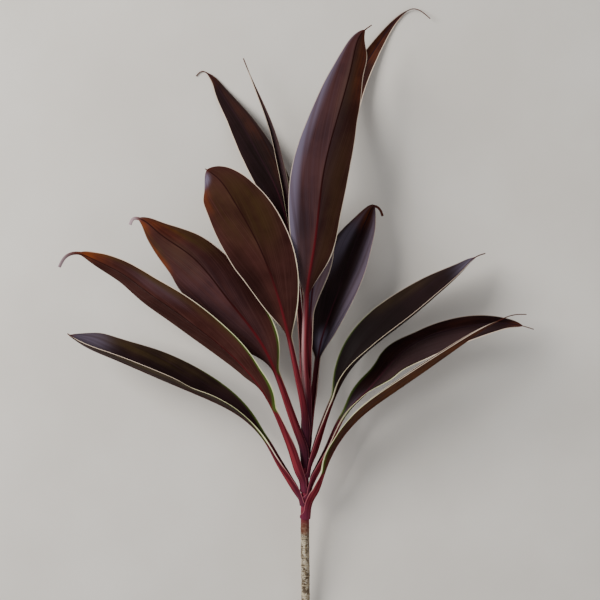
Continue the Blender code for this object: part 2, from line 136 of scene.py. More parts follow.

# The leaves from the lowest sheath up.
#   node, bearing: where the sheath starts on the cane and which way the leaf stands out of it
#   wrap, sheath:  half angle that the sheath goes round at its foot, and its length
#   line:          the midrib's line after the sheath, blade_from the number of its point
#                  where the blade starts
#   stalk:         half width of the stalk's strip, low and high
#   half_width:    of the blade; swell: how it fills out near the base and near the tip
#   tail:          the share of the blade that is a hair-thin tip
#   tip:           half width of that tip, where it isn't the usual one
#   roll:          (share of the blade, angle): 0 shows the upper face to the viewer
#   fold:          (share of the blade, angle) that each half rises from flat
#   waves:         (side, share of the blade, reach, share of the half width) that the margin
#                  runs out by; side 1 is the right half as seen from the upper face, tip up
#   tints:         soft patches of colour: the mark, the share of the blade and the share of the
#                  half width where it is centred, how far it spreads each way, and its strength;
#                  a share of the half width is negative on the blade's left half, as seen from
#                  its upper face with the tip up
#   green:         how green the blade's edge is near its base, on the left and the right half
#    rim:           how plain the pale line on the margin is, on the left and the right half; the
#                   line is partly the margin's own colour and partly painted rim light
#   colour:        the end of its slot's name
LEAVES = (
    dict(name="leaf_01_right_lowest", node=-8, bearing=30, wrap=145, sheath=12, stalk=(7.5, 5.4),
         blade_from=2,
         line=((8.8, 14.5, 38.3), (14, 26, 44), (22.3, 51.5, 53.5), (34.8, 81, 62.5), (67, 122, 76),
               (102.5, 149.5, 86), (147, 181, 95), (189, 211, 98), (229, 236, 95), (246, 242, 92),
               (261, 242.5, 90)),
         half_width=25, swell=(0.7, 0.8), tail=0.11,
         roll=((0, -97), (0.25, -94), (1, -92)), fold=((0, 21), (1, 21)),
         waves=(),
         tints=(("olive", 0.45, 0.5, 0.5, 0.9, 0.5), ("rust", 0.5, 0.5, 0.5, 0.9, 0.25),
                ("rust", 0.85, 0.3, 0.25, 1.5, 0.5), ("shade", 0.1, 0.6, 0.15, 0.6, 0.3)),
         green=(0.8, 1.0), rim=(0.9, 1.0), colour="russet"),
    dict(name="leaf_02_left_lowest", node=9, bearing=175, wrap=120, sheath=6, stalk=(8.5, 5.4),
         blade_from=3,
         line=((-9.4, 20, 36), (-17, 34, 40), (-31, 58.5, 46), (-47.5, 90, 54), (-76, 119.5, 60),
               (-126, 146, 67), (-180, 169, 70), (-231, 190.5, 68), (-266, 206, 63), (-285, 219, 59)),
         half_width=35, swell=(1.0, 0.75), tail=0.01,
         roll=((0, 70), (0.3, 71), (1, 68)), fold=((0, 37), (1, 37)),
         waves=((1, 0.93, 0.1, 0.35), (1, 0.3, 0.25, 0.06), (1, 0.72, 0.1, -0.04),
                (-1, 0.4, 0.06, -0.35), (-1, 0.2, 0.08, 0.12)),
         tints=(("bloom", 0.93, 0.4, 0.12, 0.7, 0.5), ("shade", 0.45, -0.6, 0.8, 0.6, 0.7),
                ("olive", 0.5, -0.8, 0.3, 0.3, 0.7), ("olive", 0.6, 0.8, 0.3, 0.3, 0.5),
                ("shade", -0.9, 0, 0.2, 2, 0.4)),
         green=(1.0, 1.0), rim=(1.0, 0.25), colour="plum"),
    dict(name="leaf_03_right_lower", node=18, bearing=2, wrap=115, sheath=7, stalk=(7.6, 5.0),
         blade_from=2,
         line=((11.2, 40, 39.5), (27.4, 73.5, 41), (45.6, 116, 43), (58, 132, 43), (73, 146.5, 42),
               (88.5, 163.5, 41), (115, 193, 42), (140, 210.5, 44), (175, 222.5, 46), (235, 230.5, 47),
               (257, 229, 46), (277, 223.5, 45)),
         half_width=26, swell=(0.95, 0.9), tail=0.05,
         roll=((0, -60), (0.12, -50), (0.3, -10), (0.5, 18), (0.8, 5), (1, 0)),
         fold=((0, 46), (1, 46)),
         waves=((-1, 0.1, 0.07, 0.22), (-1, 0.25, 0.07, -0.16), (-1, 0.55, 0.12, 0.05),
                (1, 0.9, 0.1, -0.15)),
         tints=(("rust", 0.55, -0.5, 0.4, 0.5, 0.1), ("blush", 0.45, 0.5, 0.4, 0.6, 0.05),
                ("bloom", 0.05, 0.3, 0.1, 0.9, 0.3), ("shade", 0.3, -0.9, 0.5, 0.35, 0.4),
                ("rust", 0.97, 0, 0.08, 1.5, 0.3)),
         green=(1.0, 0.9), rim=(0.35, 1.0), colour="plum"),
    dict(name="leaf_04_left_lower", node=26, bearing=145, wrap=120, sheath=8, stalk=(9.5, 5.0),
         blade_from=3,
         line=((-8.7, 47.5, 51), (-16.8, 74, 56), (-26.2, 101, 61), (-37.5, 128.5, 66),
               (-81.8, 189.5, 75), (-128, 228, 82), (-159, 251, 86), (-185, 269, 88), (-212, 289, 89),
               (-252, 309, 89), (-270, 314.5, 87), (-282, 311, 85), (-291, 298, 83)),
         half_width=34, swell=(0.78, 0.9), tail=0.09, tip=1.8,
         roll=((0, 120), (0.3, 124), (0.7, 127), (1, 150)), fold=((0, 6), (1, 6)),
         waves=((1, 0.68, 0.12, 0.07), (1, 0.14, 0.08, -0.08), (-1, 0.86, 0.12, 0.14),
                (-1, 0.45, 0.12, 0.04)),
         tints=(("shade", -1.0, 0, 0.2, 2, 0.35), ("rust", 0.93, -0.3, 0.12, 1.2, 0.8),
                ("olive", 0.6, -0.9, 0.35, 0.3, 0.6), ("bloom", 0.6, -0.5, 0.12, 0.3, 0.15),
                ("blush", 1, 0, 0.06, 3, 0.7)),
         green=(1.4, 0.1), rim=(1.0, 0.25), colour="russet"),
    dict(name="leaf_05_right_middle", node=44, bearing=0, wrap=110, sheath=9, stalk=(8.3, 5.0),
         blade_from=2,
         line=((11.5, 70, 45), (20.6, 100, 48), (34, 140, 49.8), (50.5, 171.5, 50), (84.7, 206.7, 50),
               (125.5, 238, 49), (160.5, 267.5, 46), (193, 298, 42), (208, 312, 40), (219, 316, 40)),
         half_width=36, swell=(0.9, 0.95), tail=0.05,
         roll=((0, -75), (0.3, -60), (1, -60)), fold=((0, 36), (1, 36)),
         waves=((1, 0.72, 0.08, 0.12), (1, 0.55, 0.06, -0.06), (-1, 0.4, 0.25, 0.04)),
         tints=(("shade", 0.3, -0.3, 0.4, 1.1, 0.8), ("bloom", 0.95, 0.2, 0.12, 1.2, 0.7),
                ("olive", 0.6, -0.9, 0.2, 0.25, 0.3)),
         green=(0.9, 0.4), rim=(0.5, 1.0), colour="plum"),
    dict(name="leaf_06_left_middle", node=56, bearing=120, wrap=110, sheath=9, stalk=(7.8, 5.0),
         blade_from=3,
         line=((-3, 77, 54.3), (-10.6, 101, 60.3), (-22.5, 137, 69), (-34.5, 172.5, 76),
               (-47.8, 201.3, 81), (-91.6, 260.2, 89), (-135.6, 311.6, 91), (-176.5, 341, 88),
               (-195, 354.5, 85), (-203, 355, 84), (-207, 348, 83)),
         half_width=39, swell=(0.85, 0.9), tail=0.05, tip=1.8,
         roll=((0, 160), (0.3, 190), (1, 196)), fold=((0, 22), (1, 22)),
         waves=((1, 0.85, 0.07, -0.07), (1, 0.6, 0.08, 0.05), (-1, 0.6, 0.08, -0.04),
                (-1, 0.88, 0.08, 0.08)),
         tints=(("shade", -0.95, 0, 0.35, 2, 0.75), ("rust", 0.92, 0.6, 0.08, 0.5, 0.6),
                ("rust", 0.8, 0.95, 0.12, 0.15, 0.7), ("olive", 0.83, 0.75, 0.1, 0.25, 0.6),
                ("rust", 0.84, -0.4, 0.1, 0.4, 0.5), ("olive", 0.72, -0.75, 0.15, 0.3, 0.7),
                ("olive", 0.7, 0.2, 0.15, 0.4, 0.3), ("bloom", 0.4, 0.4, 0.4, 0.9, 0.08),
                ("blush", 1, 0, 0.05, 3, 0.8)),
         green=(1.2, 0.1), rim=(1.0, 0.35), colour="russet"),
    dict(name="leaf_07_right_upper", node=68, bearing=-55, wrap=75, sheath=9, stalk=(6.0, 4.6),
         blade_from=3,
         line=((6.8, 101, 37), (9.2, 127, 37.5), (11.8, 148, 37), (15.8, 187, 35.5), (18, 201, 35),
               (32, 246, 32), (45.5, 283, 30), (64, 331, 26), (78, 363, 23), (87, 374, 21),
               (91.5, 371, 20), (95.5, 362, 19.5)),
         half_width=34, swell=(0.8, 0.8), tail=0.07, tip=1.3,
         roll=((0, -16), (0.4, -16), (1, -10)), fold=((0, 34), (0.5, 34), (1, 44)),
         waves=((1, 0.25, 0.2, -0.09), (1, 0.82, 0.1, 0.1), (-1, 0.82, 0.1, -0.08)),
         tints=(("shade", -0.95, 0, 0.3, 2, 0.6), ("bloom", 0.55, 0.75, 0.6, 0.35, 0.8),
                ("bloom", 0.7, -0.6, 0.2, 0.3, 0.5), ("bloom", 0.09, 0.05, 0.08, 0.5, 1),
                ("blush", 0.6, 0.6, 0.4, 0.5, 0.08), ("shade", 0.35, -0.4, 0.25, 0.7, 0.3),
                ("rust", 0.9, 0, 0.12, 1.5, 0.4)),
         green=(0.1, 0.1), rim=(0.25, 0.5), colour="plum"),
    dict(name="leaf_08_left_broad", node=80, bearing=110, wrap=95, sheath=9, stalk=(6.4, 3.6),
         blade_from=3,
         line=((-1.8, 125, 67.5), (-8.5, 163, 78), (-13, 186, 84), (-18.3, 212, 90), (-30.3, 259, 101),
               (-53.5, 321, 109), (-84, 376, 110), (-101, 400, 106), (-117, 412.5, 101)),
         half_width=40, swell=(0.92, 0.62), tail=0.01,
         roll=((0, 160), (0.25, 172), (0.6, 184), (1, 190)), fold=((0, 14), (1, 14)),
         waves=((1, 0.9, 0.08, 0.16), (1, 0.45, 0.06, 0.02)),
         tints=(("shade", -0.95, 0, 0.35, 2, 0.75), ("olive", 0.7, -0.35, 0.22, 0.6, 0.5),
                ("olive", 0.75, 0.4, 0.2, 0.4, 0.3), ("rust", 0.86, 0.85, 0.08, 0.2, 0.35),
                ("bloom", 0.97, 0.75, 0.04, 0.5, 1), ("shade", 0.3, 0.75, 0.3, 0.45, 0.65),
                ("shade", 0.6, -0.2, 0.6, 1.5, 0.25)),
         green=(0.3, 0.1), rim=(1.0, 0.8), colour="russet"),
    dict(name="leaf_09_front_tall", node=92, bearing=75, wrap=80, sheath=9, stalk=(6.0, 4.3),
         blade_from=3,
         line=((2.5, 144, 67.5), (0, 188, 77), (0.5, 235, 86.5), (1.8, 265, 90), (10.5, 322, 96),
               (21.5, 410, 103), (40.5, 483, 97), (56.5, 545, 86), (69, 578, 78), (79, 586, 75)),
         half_width=39, swell=(0.75, 0.86), tail=0.03,
         roll=((0, 188), (0.3, 197), (0.6, 199), (1, 201)), fold=((0, 14), (0.5, 22), (0.9, 27)),
         waves=((-1, 0.65, 0.05, -0.05), (-1, 0.28, 0.1, -0.06), (1, 0.76, 0.1, 0.04),
                (-1, 0.92, 0.07, 0.9), (1, 0.66, 0.25, -0.09)),
         tints=(("bloom", 0.42, 1.05, 0.6, 0.36, 0.95), ("bloom", 0.5, 0.3, 0.5, 0.7, 0.1),
                ("blush", -0.4, 0.6, 0.4, 0.4, 0.85), ("shade", -0.9, 0, 0.3, 2, 0.75),
                ("olive", 0.75, -0.2, 0.2, 0.4, 0.4), ("rust", 0.9, -0.8, 0.2, 0.6, 0.4),
                ("olive", 0.35, -0.5, 0.35, 0.5, 0.4), ("shade", 0.15, 0.6, 0.25, 0.45, 0.65),
                ("shade", 0.5, 0.4, 0.3, 0.4, 0.25)),
         green=(0.1, 0.1), rim=(1.0, 0.6), colour="russet"),
    dict(name="leaf_10_back_left", node=104, bearing=-175, wrap=62, sheath=9, stalk=(5.0, 4.0),
         blade_from=3,
         line=((-4.6, 149, 53.5), (-4.2, 193, 55), (-6.5, 235, 54), (-13, 305, 46), (-23, 359, 38),
               (-38, 402, 31), (-57, 438, 24), (-84.5, 486, 11), (-105, 518, 3.3), (-120.5, 540, 1.4),
               (-127, 543, 1.4), (-135, 537, 1.4)),
         half_width=21, swell=(0.85, 0.98), tail=0.05,
         roll=((0, 0), (0.3, 3), (1, 3)), fold=((0, 12), (0.3, 4), (1, 4)),
         waves=((-1, 0.75, 0.12, -0.1), (-1, 0.35, 0.12, 0.06), (1, 0.7, 0.15, -0.08)),
         tints=(("shade", 0.55, 0.3, 0.5, 1.2, 0.5), ("rust", 0.95, 0, 0.08, 1.5, 0.25),
                ("rust", 0.6, 0.45, 0.3, 0.4, 0.12)),
         green=(0.1, 0.1), rim=(1.0, 0.1), colour="plum"),
    dict(name="leaf_11_back_right", node=116, bearing=-75, wrap=75, sheath=9, stalk=(5.0, 4.0),
         blade_from=2,
         line=((4.6, 149, 45), (5, 193, 49), (6.5, 240, 55.5), (12, 300, 60), (24, 381, 48),
               (37, 442, 31), (49, 489, 16), (63, 528, 6), (83, 564, 2), (99, 588.5, 1), (117, 610, 2),
               (134, 620, 4), (155, 607, 8)),
         half_width=23, swell=(0.8, 1.2), tail=0.06,
         roll=((0, 0), (1, 0)), fold=((0, 30), (1, 30)),
         waves=((1, 0.13, 0.07, 0.4), (1, 0.7, 0.06, 0.04)),
         tints=(("rust", 0.85, 0, 0.4, 1.5, 0.3), ("bloom", 0.1, 0.5, 0.25, 0.9, 1),
                ("blush", 0.08, 0.6, 0.15, 0.5, 0.35), ("shade", 0.6, -0.5, 0.3, 0.8, 0.3)),
         green=(0.1, 0.1), rim=(0.5, 0.8), colour="plum"),
    dict(name="leaf_12_young_narrow", node=125, bearing=170, wrap=75, sheath=7, stalk=(4.0, 3.0),
         blade_from=3,
         line=((0.5, 154, 61), (0.5, 205, 67), (-1.5, 259, 70), (-8, 304, 70), (-18, 349, 65),
               (-23.5, 385, 60), (-31, 422, 53), (-41, 464, 45), (-49, 488, 40), (-63, 524, 33),
               (-75, 555, 26)),
         half_width=6.5, swell=(0.8, 1.3), tail=0.03,
         roll=((0, 60), (0.3, 35), (1, 50)), fold=((0, 40), (1, 40)),
         waves=(),
         tints=(("blush", 0.5, 0.5, 0.6, 0.5, 0.12), ("rust", 0.9, 0, 0.2, 1.5, 0.25),
                ("blush", 0.02, 0, 0.15, 2, 0.25)),
         green=(0.6, 0.6), rim=(0.7, 0.2), colour="plum"),
)


def ease(x, start, end):
    """Rise smoothly from 0 at start to 1 at end."""
    share = np.clip((x - start) / (end - start), 0, 1)
    return share * share * (3 - 2 * share)


def steps_between(x, stations):
    """Values set at stations along x, with a smooth rise from each to the next."""
    value = np.full(np.shape(x), float(stations[0][1]))
    for (start, low), (end, high) in zip(stations, stations[1:]):
        value = value + (high - low) * ease(x, start, end)
    return value


def length_along(line):
    """How far along a line of points each of them is."""
    return np.concatenate([[0], np.cumsum(np.linalg.norm(np.diff(line, axis=0), axis=1))])


def smooth_line(points, count=500):
    """A natural cubic curve through the points, with the length along it."""
    points = np.array(points, dtype=float)
    at = length_along(points)
    gap, last = np.diff(at), len(points) - 1
    system, right = np.eye(last + 1), np.zeros((last + 1, 3))
    for i in range(1, last):
        system[i, i - 1:i + 2] = gap[i - 1], 2 * (gap[i - 1] + gap[i]), gap[i]
        right[i] = 6 * ((points[i + 1] - points[i]) / gap[i] - (points[i] - points[i - 1]) / gap[i - 1])
    bend = np.linalg.solve(system, right)
    x = np.linspace(0, at[-1], count)
    i = np.clip(np.searchsorted(at, x) - 1, 0, last - 1)
    after, before, span = (x - at[i])[:, None], (at[i + 1] - x)[:, None], gap[i][:, None]
    curve = (bend[i] * before ** 3 + bend[i + 1] * after ** 3) / (6 * span)
    curve += ((points[i] / span - bend[i] * span / 6) * before
              + (points[i + 1] / span - bend[i + 1] * span / 6) * after)
    return curve, length_along(curve)


def point_at(value, table, points):
    """The place on a line of points where the table, which rises along it, has the value."""
    return np.stack([np.interp(value, table, points[:, k]) for k in range(3)], axis=-1)


def unit(vectors):
    return vectors / np.linalg.norm(vectors, axis=-1, keepdims=True)


CANE_CURVE, _ = smooth_line(CANE_LINE)
NODES = [leaf["node"] for leaf in LEAVES]


def cane_at(y):
    """The cane's centre at a place along it."""
    return point_at(y, CANE_CURVE[:, 1], CANE_CURVE)


def core_radius(y):
    """The cane without its bark's relief: even to the origin, and thinner from there to its tip."""
    return CANE_RADIUS + (TIP_RADIUS - CANE_RADIUS) * np.clip(y / CANE_TIP, 0, 1)


def nest_radius(order, y):
    """The inner radius of one sheath: the core, and the sheaths of the younger leaves in it."""
    younger = np.interp(y, NODES + [NODES[-1] + SCAR_SPACING], range(len(NODES) + 1)) - order
    return core_radius(y) + SHEATH_GAP + (SHEATH_GAP + SHEATH_WALL) * np.maximum(younger, 0)


def leaf_spine(order, leaf):
    """The midrib's curve, the length along it, and the length at which the blade starts."""
    bearing = math.radians(leaf["bearing"])
    outward = np.array([math.cos(bearing), 0, math.sin(bearing)])
    in_sheath = leaf["node"] + np.linspace(0, leaf["sheath"], SEAT_POINTS)
    seat = cane_at(in_sheath) + nest_radius(order, in_sheath)[:, None] * outward
    points = np.vstack([seat, leaf["line"]])
    curve, length = smooth_line(points)
    blade_point = points[len(seat) + leaf["blade_from"]]
    return curve, length, length[np.argmin(np.linalg.norm(curve - blade_point, axis=1))]


def leaf_axes(leaf, run, curve, length, start):
    """For each row: its centre, the upper face's direction there and the direction across."""
    total, sheath_end = length[-1], leaf["sheath"]
    behind, beyond = np.maximum(run - LOOK_AHEAD, 0), np.minimum(run + LOOK_AHEAD, total)
    ahead = unit(point_at(beyond, length, curve) - point_at(behind, length, curve))
    bearing = math.radians(leaf["bearing"])
    turn = math.degrees(math.atan2(-math.cos(bearing), -math.sin(bearing)))
    turn += 360 * round((leaf["roll"][0][1] - turn) / 360)
    stations = [(sheath_end, turn)]
    stations += [(start + share * (total - start), angle) for share, angle in leaf["roll"]]
    roll = np.radians(steps_between(run, stations))[:, None]
    up = unit(np.array([0, 0, 1]) - ahead * ahead[:, 2:])
    face = np.cos(roll) * up + np.sin(roll) * np.cross(ahead, up)
    return point_at(run, length, curve), face, np.cross(ahead, face)


def leaf_strip(order, leaf, run, along, centre, start):
    """For each row: the half width of the strip, the angle that it curls by, the angle that the
    blade folds by, and how far the channel has opened into a blade."""
    sheath_end = leaf["sheath"]
    stalk_low = sheath_end + STALK_RUN
    nest = nest_radius(order, centre[:, 1])
    clear = np.linalg.norm((centre - cane_at(centre[:, 1]))[:, [0, 2]], axis=1) - nest
    loose = ease(clear, 0, CLEAR_OF_NEST)
    narrowing = ease(run, sheath_end * NARROWS_FROM, stalk_low)
    stalk = steps_between(run, list(zip((stalk_low, start), leaf["stalk"])))
    stalk_curl = np.radians(steps_between(run, list(zip((stalk_low, start), STALK_CURL))))
    top_wrap = min(leaf["wrap"], SHEATH_OPEN)
    wrap = np.radians(steps_between(run, [(0, leaf["wrap"]), (sheath_end, top_wrap)]))
    strip = nest * wrap * (1 - narrowing) + stalk * narrowing
    curl = strip / (nest * (1 - loose) + stalk / stalk_curl * loose)
    low_swell, high_swell = leaf["swell"]
    peak = low_swell / (low_swell + high_swell)
    share = np.minimum(along / (1 - leaf["tail"]), 1)
    spread = leaf["half_width"] * (share / peak) ** low_swell
    spread = spread * ((1 - share) / (1 - peak)) ** high_swell
    fading = strip * (1 - ease(along, 0, STALK_FADES))
    strip = (fading ** WIDTH_BLEND + spread ** WIDTH_BLEND) ** (1 / WIDTH_BLEND)
    strip = np.maximum(strip, leaf.get("tip", TIP_HALF_WIDTH) * (2 - along))
    opened = ease(along, 0, BLADE_OPENS)
    return strip, curl * (1 - opened), np.radians(steps_between(along, leaf["fold"])) * opened, opened


def margin_waves(leaf, along, across):
    """How far the margin runs out or in on each side, as a share of the even half width."""
    share = np.ones((len(along), len(across)))
    for side, middle, reach, height in leaf["waves"]:
        share += height * np.exp(-((along[:, None] - middle) / reach) ** 2) * (across * side > 0)
    return share


def leaf_section(strip, curl, fold):
    """One side of every row, from the midrib out: the columns' shares of the half width, and how
    far each point lies to the side and rises."""
    reach = np.linspace(0, 1, SIDE_COLUMNS + 1) ** COLUMN_CROWDING
    middle, step = (reach[1:] + reach[:-1]) / 2, np.diff(reach)
    valley = 1 - np.exp(-(strip[:, None] * middle / VALLEY) ** 2)
    slope = fold[:, None] * valley + curl[:, None] * middle
    lateral = np.cumsum(strip[:, None] * step * np.cos(slope), axis=1)
    rise = np.cumsum(strip[:, None] * step * np.sin(slope), axis=1)
    foot = np.zeros((len(strip), 1))
    return reach, np.hstack([foot, lateral]), np.hstack([foot, rise])


def painted(patches, tint, along, across):
    """How strong one tint is over the leaf, from its soft patches."""
    cover = np.zeros((len(along), len(across)))
    for mark, along_at, across_at, along_reach, across_reach, strength in patches:
        if mark == tint:
            off = ((along[:, None] - along_at) / along_reach) ** 2
            off = off + ((across - across_at) / across_reach) ** 2
            cover = np.maximum(cover, strength * np.exp(-off ** PATCH_EDGE))
    return cover


def leaf_shape(order, leaf):
    """The upper face and the underside as rows along the leaf by columns across, with the marks
    that its materials read: how far along it each point is, how far from the midrib and the
    margin, how dry, how green and how plain its rim is, and its tints."""
    curve, length, start = leaf_spine(order, leaf)
    total, sheath_end = length[-1], leaf["sheath"]
    run = np.concatenate([
        np.linspace(0, sheath_end, SHEATH_ROWS + 1)[:-1],
        np.linspace(sheath_end, start, STALK_ROWS + 1)[:-1],
        start + (total - start) * (0.5 - 0.5 * np.cos(np.linspace(0, math.pi, BLADE_ROWS + 1)))])
    along = np.clip((run - start) / (total - start), 0, 1)
    centre, face, side = leaf_axes(leaf, run, curve, length, start)
    strip, curl, fold, opened = leaf_strip(order, leaf, run, along, centre, start)
    reach, lateral, rise = leaf_section(strip, curl, fold)

    across = np.concatenate([-reach[:0:-1], reach])
    share = margin_waves(leaf, along, across)
    lateral = np.hstack([-lateral[:, :0:-1], lateral]) * share
    rise = np.hstack([rise[:, :0:-1], rise]) * share
    upper = centre[:, None] + side[:, None] * lateral[..., None] + face[:, None] * rise[..., None]
    normal = unit(np.cross(np.gradient(upper, axis=1), np.gradient(upper, axis=0)))
    normal *= np.sign(np.sum(normal[:, SIDE_COLUMNS] * face, axis=-1))[:, None, None]
    rib = RIB_HEIGHT * ease(run, sheath_end, sheath_end + RIB_RUN)
    rib = rib * (1 - RIB_SINKS * along) ** RIB_SINK_POWER
    half = strip[:, None] * share
    from_midrib = half * np.abs(across)
    wall = SHEATH_WALL + (BLADE_WALL - SHEATH_WALL) * opened
    depth = wall[:, None] + (MARGIN_WALL - wall[:, None]) * ease(np.abs(across), THINS_FROM, 1)
    depth = depth + rib[:, None] * np.exp(-(from_midrib / RIB_SPREAD) ** 2)
    whole = np.ones_like(from_midrib)
    way = np.where(run > start, along, run / start - 1)
    hair = 1 - leaf["tail"]
    dry = ease(along, hair - DRIES_BEFORE, hair + DRY_AFTER)
    young = 1 - ease(along, GREEN_FROM, GREEN_TO)
    lined = 1 - ease(along, hair - RIM_FADES, hair)
    marks = {
        "along": way[:, None] * whole,
        "run": run[:, None] * whole,
        "dry": dry[:, None] * whole,
        "across": half * across,
        "edge": half - from_midrib,
        "green": young[:, None] * np.where(across < 0, *leaf["green"]),
        "rim": lined[:, None] * np.where(across < 0, *leaf["rim"]),
    }
    marks.update({tint: painted(leaf["tints"], tint, way, across) for tint in TINTS})
    return upper, upper - normal * depth[..., None], marks


def place(point):
    """A point of the shoot, in metres, where it lies in the frame."""
    return Vector((np.asarray(point, dtype=float) + SET_DOWN) * MM)


def leaf_piece(order, leaf):
    """A closed leaf: one grid for the upper face, extruded to the underside."""
    upper, under, marks = leaf_shape(order, leaf)
    rows, columns = upper.shape[0] - 1, upper.shape[1] - 1
    bm = bmesh.new()
    row_of, column_of = bm.verts.layers.int.new("row"), bm.verts.layers.int.new("column")
    layers = {mark: bm.verts.layers.float.new(mark) for mark in marks}
    below = bm.verts.layers.float.new("below")
    bmesh.ops.create_grid(bm, x_segments=columns, y_segments=rows, size=1)
    for vert in bm.verts:
        at = round((vert.co.y + 1) / 2 * rows), round((vert.co.x + 1) / 2 * columns)
        vert[row_of], vert[column_of] = at
        vert.co = place(upper[at])
        for mark, layer in layers.items():
            vert[layer] = marks[mark][at]
    grown = bmesh.ops.extrude_face_region(bm, geom=bm.faces[:], use_keep_orig=True)["geom"]
    for vert in grown:
        if isinstance(vert, bmesh.types.BMVert):
            vert.co = place(under[vert[row_of], vert[column_of]])
            vert[below] = 1.0
    bmesh.ops.recalc_face_normals(bm, faces=bm.faces[:])
    for face in bm.faces:
        face.material_index = int(any(vert[below] > 0.5 for vert in face.verts))
        face.smooth = True
    # Removing one layer moves the other, which is looked up again.
    bm.verts.layers.int.remove(row_of)
    bm.verts.layers.int.remove(bm.verts.layers.int["column"])
    mesh = bpy.data.meshes.new(leaf["name"] + "_blade")
    bm.to_mesh(mesh)
    bm.free()
    return mesh


def cane_piece():
    """The cane: a ring drawn along the centre line, with a low, uneven ridge at every leaf scar
    and shallow furrows in its bark.  Its cut end is the only face of the second material."""
    scars = np.arange(FIRST_SCAR, LAST_SCAR, SCAR_SPACING)
    heights = np.concatenate([[CANE_CUT, CANE_CUT + CUT_CHAMFER],
                              np.arange(CANE_CUT + CUT_CHAMFER, CANE_TIP, CANE_RING_STEP)[1:]])
    bm = bmesh.new()
    ring = bmesh.ops.create_circle(bm, cap_ends=True, segments=CANE_SIDES, radius=1)["verts"]
    cut = bm.faces[:]
    edges, rings = bm.edges[:], [ring]
    for _ in heights[1:]:
        grown = bmesh.ops.extrude_edge_only(bm, edges=edges)["geom"]
        rings.append([v for v in grown if isinstance(v, bmesh.types.BMVert)])
        edges = [e for e in grown if isinstance(e, bmesh.types.BMEdge)]
    bmesh.ops.contextual_create(bm, geom=edges)
    for height, ring in zip(heights, rings):
        centre = cane_at(height)
        bare = 1 - float(ease(height, LAST_SCAR, 0))
        for vert in ring:
            angle = math.atan2(vert.co.y, vert.co.x)
            around = Vector((math.cos(angle), math.sin(angle), 0))
            tilt = SCAR_TILT * math.sin(angle + height / SCAR_SPACING)
            ridge = float(np.max(np.exp(-((height + tilt - scars) / SCAR_WIDTH) ** 2)))
            furrow = noise.noise(Vector((
                around.x * FURROW_CROWDING, around.y * FURROW_CROWDING, height / FURROW_LENGTH)))
            knobble = noise.noise(Vector((
                around.x * KNOBBLE_CROWDING, around.y * KNOBBLE_CROWDING,
                height / KNOBBLE_LENGTH + PATTERNS_APART)))
            radius = float(core_radius(height)) + bare * (
                SCAR_HEIGHT * ridge * (1 + furrow) + FURROW_DEPTH * furrow + KNOBBLE_DEPTH * knobble)
            if height == CANE_CUT:
                radius -= CUT_CHAMFER
            vert.co = place(centre + radius * np.array([around.x, 0, around.y]))
    bmesh.ops.recalc_face_normals(bm, faces=bm.faces[:])
    for face in bm.faces:
        face.smooth = len(face.verts) == 4
        face.material_index = int(face in cut)
    mesh = bpy.data.meshes.new("cane_bark")
    bm.to_mesh(mesh)
    bm.free()
    return mesh


def paint(code):
    """A colour written as it looks on a screen, #rrggbb, as the linear one that shaders take."""
    parts = [int(code[i:i + 2], 16) / 255 for i in (1, 3, 5)]
    return (*[c / 12.92 if c <= 0.04045 else ((c + 0.055) / 1.055) ** 2.4 for c in parts], 1.0)


# Colours that both faces of the leaves use. The shade is painted shade; the olive and the rusts are
# partly the leaf's own colour and partly painted light shining through it; the grey-lilac is a painted
# sheen and the pale pink a painted highlight that near the dry tip is the tip's own colour; the pale
# margin is partly its own colour and partly painted rim light; the stalk's dark sides are painted shade
# and its mauve foot a painted reflection.
LEAF_GREEN = paint("#465c22")
MARGIN, YOUNG_MARGIN, SHEATH_MARGIN = paint("#efd9c4"), paint("#ecebb8"), paint("#b4666e")
SHADE, OLIVE, BLOOM, BLUSH = paint("#140a09"), paint("#45371a"), paint("#70677a"), paint("#d2a3a6")
DARK_RUST, BRIGHT_RUST = paint("#54200f"), paint("#854118")
STALK_SIDE, STALK_FOOT, STALK_SHADE = paint("#3a1420"), paint("#74324e"), paint("#2e1a26")
DRY_TIP, PALE_DRY_TIP = paint("#52271f"), paint("#b9a3ab")
# The cane's bark, from old to young, and its cut end from the middle out.
BARK_BROWN, BARK_BEIGE, BARK_GRAIN = paint("#5c4a32"), paint("#b0a186"), paint("#e2dac6")
BARK_SPOT, BARK_SCAR, BARK_SIDE = paint("#3f2f1f"), paint("#d6c6a4"), paint("#5b452c")
YOUNG_BARK, RED_BARK, CROWN_BARK = paint("#64301f"), paint("#6b2429"), paint("#7c2038")
PITH, PITH_SPECK, CUT_WOOD, CUT_BARK = (
    paint("#bfa878"), paint("#8f7448"), paint("#9a8a58"), paint("#4e3a28"))
DARK_PLASTER, PALE_PLASTER = paint("#e3ddd4"), paint("#ece7df")


